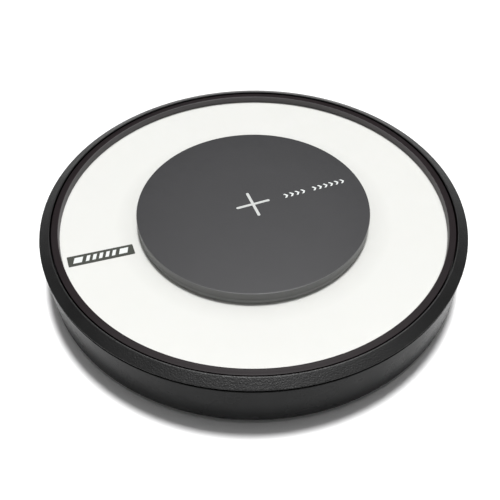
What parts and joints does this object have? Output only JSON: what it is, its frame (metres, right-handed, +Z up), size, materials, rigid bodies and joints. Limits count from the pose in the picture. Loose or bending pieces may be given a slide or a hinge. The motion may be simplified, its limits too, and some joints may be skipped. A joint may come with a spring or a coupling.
{
  "type": "wireless charging pad",
  "caption": "Round desk charging pad: black rimmed casing, dished white light plate, raised grey centre pad over the coil, power inlet at the rear.",
  "frame": {"origin": "centre of the circle that the pad stands on, at table height", "axes": "+Z up, +X along the reading direction of the printed marks, +Y towards the power inlet at the rear"},
  "size_m": [0.11, 0.11, 0.015],
  "materials": {
    "casing_black": "fine spark-eroded satin",
    "rim_black": "fine grained satin",
    "bezel_black": "smooth satin",
    "plate_white": "smooth opal",
    "pad_grey": "soft-touch matt",
    "mark_white": "printed ink",
    "label_grey": "satin film",
    "foot_rubber": "matt",
    "rating_silver": "satin label stock",
    "litz_copper": "enamelled copper strands",
    "tape": "adhesive film",
    "ferrite": "sintered",
    "inner_plastic": "as moulded",
    "reflector_white": "as moulded",
    "board_white": "white solder mask",
    "board_green": "green solder mask",
    "led_resin": "clear resin",
    "chip_black": "moulding compound",
    "ceramic_part": "sintered",
    "thermal_silicone": "soft",
    "screw_steel": "zinc plated",
    "connector_steel": "nickel plated",
    "contact_gold": "gold flash"
  },
  "bodies": {
    "root": {"base_shell": "casing_black", "top_frame": "rim_black", "bezel_ring": "bezel_black", "light_plate": "plate_white", "centre_pad": "pad_grey", "plus_mark": "mark_white", "charge_level_marks": "mark_white", "name_label": "label_grey", "name_label_marks": "mark_white", "foot_ring": "foot_rubber", "rating_label": "rating_silver", "transmitter_coil": "litz_copper", "coil_leads": "litz_copper", "coil_tape": "tape", "ferrite_shield": "ferrite", "coil_carrier": "inner_plastic", "carrier_screws": "screw_steel", "thermistor": "ceramic_part", "light_reflector": "reflector_white", "led_board": "board_white", "leds": "led_resin", "board_link_pins": "contact_gold", "main_board": "board_green", "board_screws": "screw_steel", "case_screws": "screw_steel", "controller_chip": "chip_black", "driver_chip": "chip_black", "bridge_transistors": "chip_black", "choke_coil": "ferrite", "resonant_capacitors": "ceramic_part", "chip_capacitors": "ceramic_part", "chip_resistors": "chip_black", "thermal_pad": "thermal_silicone", "usb_shell": "connector_steel", "usb_tongue": "chip_black", "usb_contacts": "contact_gold"}
  },
  "joints": []
}
